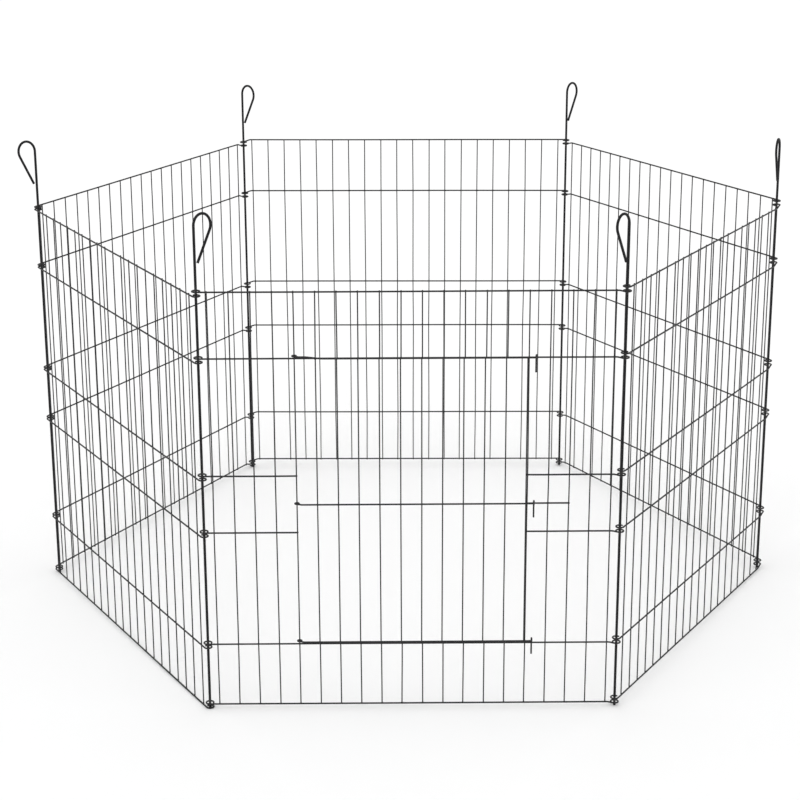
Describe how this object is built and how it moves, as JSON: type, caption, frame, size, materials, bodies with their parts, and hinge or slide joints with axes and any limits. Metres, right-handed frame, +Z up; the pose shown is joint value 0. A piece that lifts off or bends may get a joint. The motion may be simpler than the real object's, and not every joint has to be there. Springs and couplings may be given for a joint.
{
  "type": "pet playpen",
  "caption": "Folding hexagonal wire pen of welded grid panels hinged on lift-out corner rods, with a swinging door held shut by hooks.",
  "frame": {"origin": "on the floor, at the middle of the box around the whole pen with its rods' loops", "axes": "+Z up; the door panel faces -Y and runs along X; the pen is widest along X, from corner to corner"},
  "size_m": [1.1925, 1.0423, 0.7251],
  "materials": {
    "panel_wire": "black electro-coat on steel wire, satin",
    "rod_wire": "black electro-coat on thicker steel wire, satin, a little glossier",
    "door_wire": "black electro-coat on steel wire, satin",
    "latch_wire": "black electro-coat on steel wire, satin, rubbed where the hooks slide"
  },
  "bodies": {
    "front": {"front_panel": "panel_wire", "latch_keeper": "latch_wire"},
    "door": {"door": "door_wire", "latch_hook_bottom": "latch_wire", "latch_hook_middle": "latch_wire", "latch_hook_top": "latch_wire"},
    "left_front": {"left_front_panel": "panel_wire"},
    "left_back": {"left_back_panel": "panel_wire"},
    "back": {"back_panel": "panel_wire"},
    "right_front": {"right_front_panel": "panel_wire"},
    "right_back": {"right_back_panel": "panel_wire"},
    "rod_front_left": {"corner_rod_front_left": "rod_wire"},
    "rod_left": {"corner_rod_left": "rod_wire"},
    "rod_back_left": {"corner_rod_back_left": "rod_wire"},
    "rod_front_right": {"corner_rod_front_right": "rod_wire"},
    "rod_right": {"corner_rod_right": "rod_wire"},
    "rod_back_right": {"corner_rod_back_right": "rod_wire"}
  },
  "joints": [
    {"name": "fold", "type": "hinge", "parent": "front", "child": "left_front", "pos_m": [-0.2798, -0.5023, 0.305], "axis": [0, 0, 1], "range_deg": [-50, 57]},
    {"name": "left_corner_fold", "type": "hinge", "parent": "left_front", "child": "left_back", "pos_m": [-0.5698, 0, 0.305], "axis": [0, 0, 1], "range_deg": [-114, 100]},
    {"name": "back_left_fold", "type": "hinge", "parent": "left_back", "child": "back", "pos_m": [-0.2798, 0.5023, 0.305], "axis": [0, 0, 1], "range_deg": [-50, 57]},
    {"name": "front_right_fold", "type": "hinge", "parent": "front", "child": "right_front", "pos_m": [0.3002, -0.5023, 0.305], "axis": [0, 0, 1], "range_deg": [-57, 50]},
    {"name": "right_corner_fold", "type": "hinge", "parent": "right_front", "child": "right_back", "pos_m": [0.5902, 0, 0.305], "axis": [0, 0, 1], "range_deg": [-100, 114]},
    {"name": "door_swing", "type": "hinge", "parent": "front", "child": "door", "pos_m": [-0.1493, -0.50584, 0.3126], "axis": [0, 0, -1], "range_deg": [0, 150]},
    {"name": "rod_front_left_lift", "type": "slide", "parent": "front", "child": "rod_front_left", "axis": [0, 0, 1], "range_m": [0, 0.64]},
    {"name": "rod_left_lift", "type": "slide", "parent": "left_front", "child": "rod_left", "axis": [0, 0, 1], "range_m": [0, 0.64]},
    {"name": "rod_back_left_lift", "type": "slide", "parent": "left_back", "child": "rod_back_left", "axis": [0, 0, 1], "range_m": [0, 0.64]},
    {"name": "rod_front_right_lift", "type": "slide", "parent": "front", "child": "rod_front_right", "axis": [0, 0, 1], "range_m": [0, 0.64]},
    {"name": "rod_right_lift", "type": "slide", "parent": "right_front", "child": "rod_right", "axis": [0, 0, 1], "range_m": [0, 0.64]},
    {"name": "rod_back_right_lift", "type": "slide", "parent": "back", "child": "rod_back_right", "axis": [0, 0, 1], "range_m": [0, 0.64]}
  ],
  "couplings": [
    {"joint": "left_corner_fold", "follows": "fold", "ratio": -2},
    {"joint": "back_left_fold", "follows": "fold", "ratio": 1},
    {"joint": "front_right_fold", "follows": "fold", "ratio": -1},
    {"joint": "right_corner_fold", "follows": "fold", "ratio": 2}
  ]
}
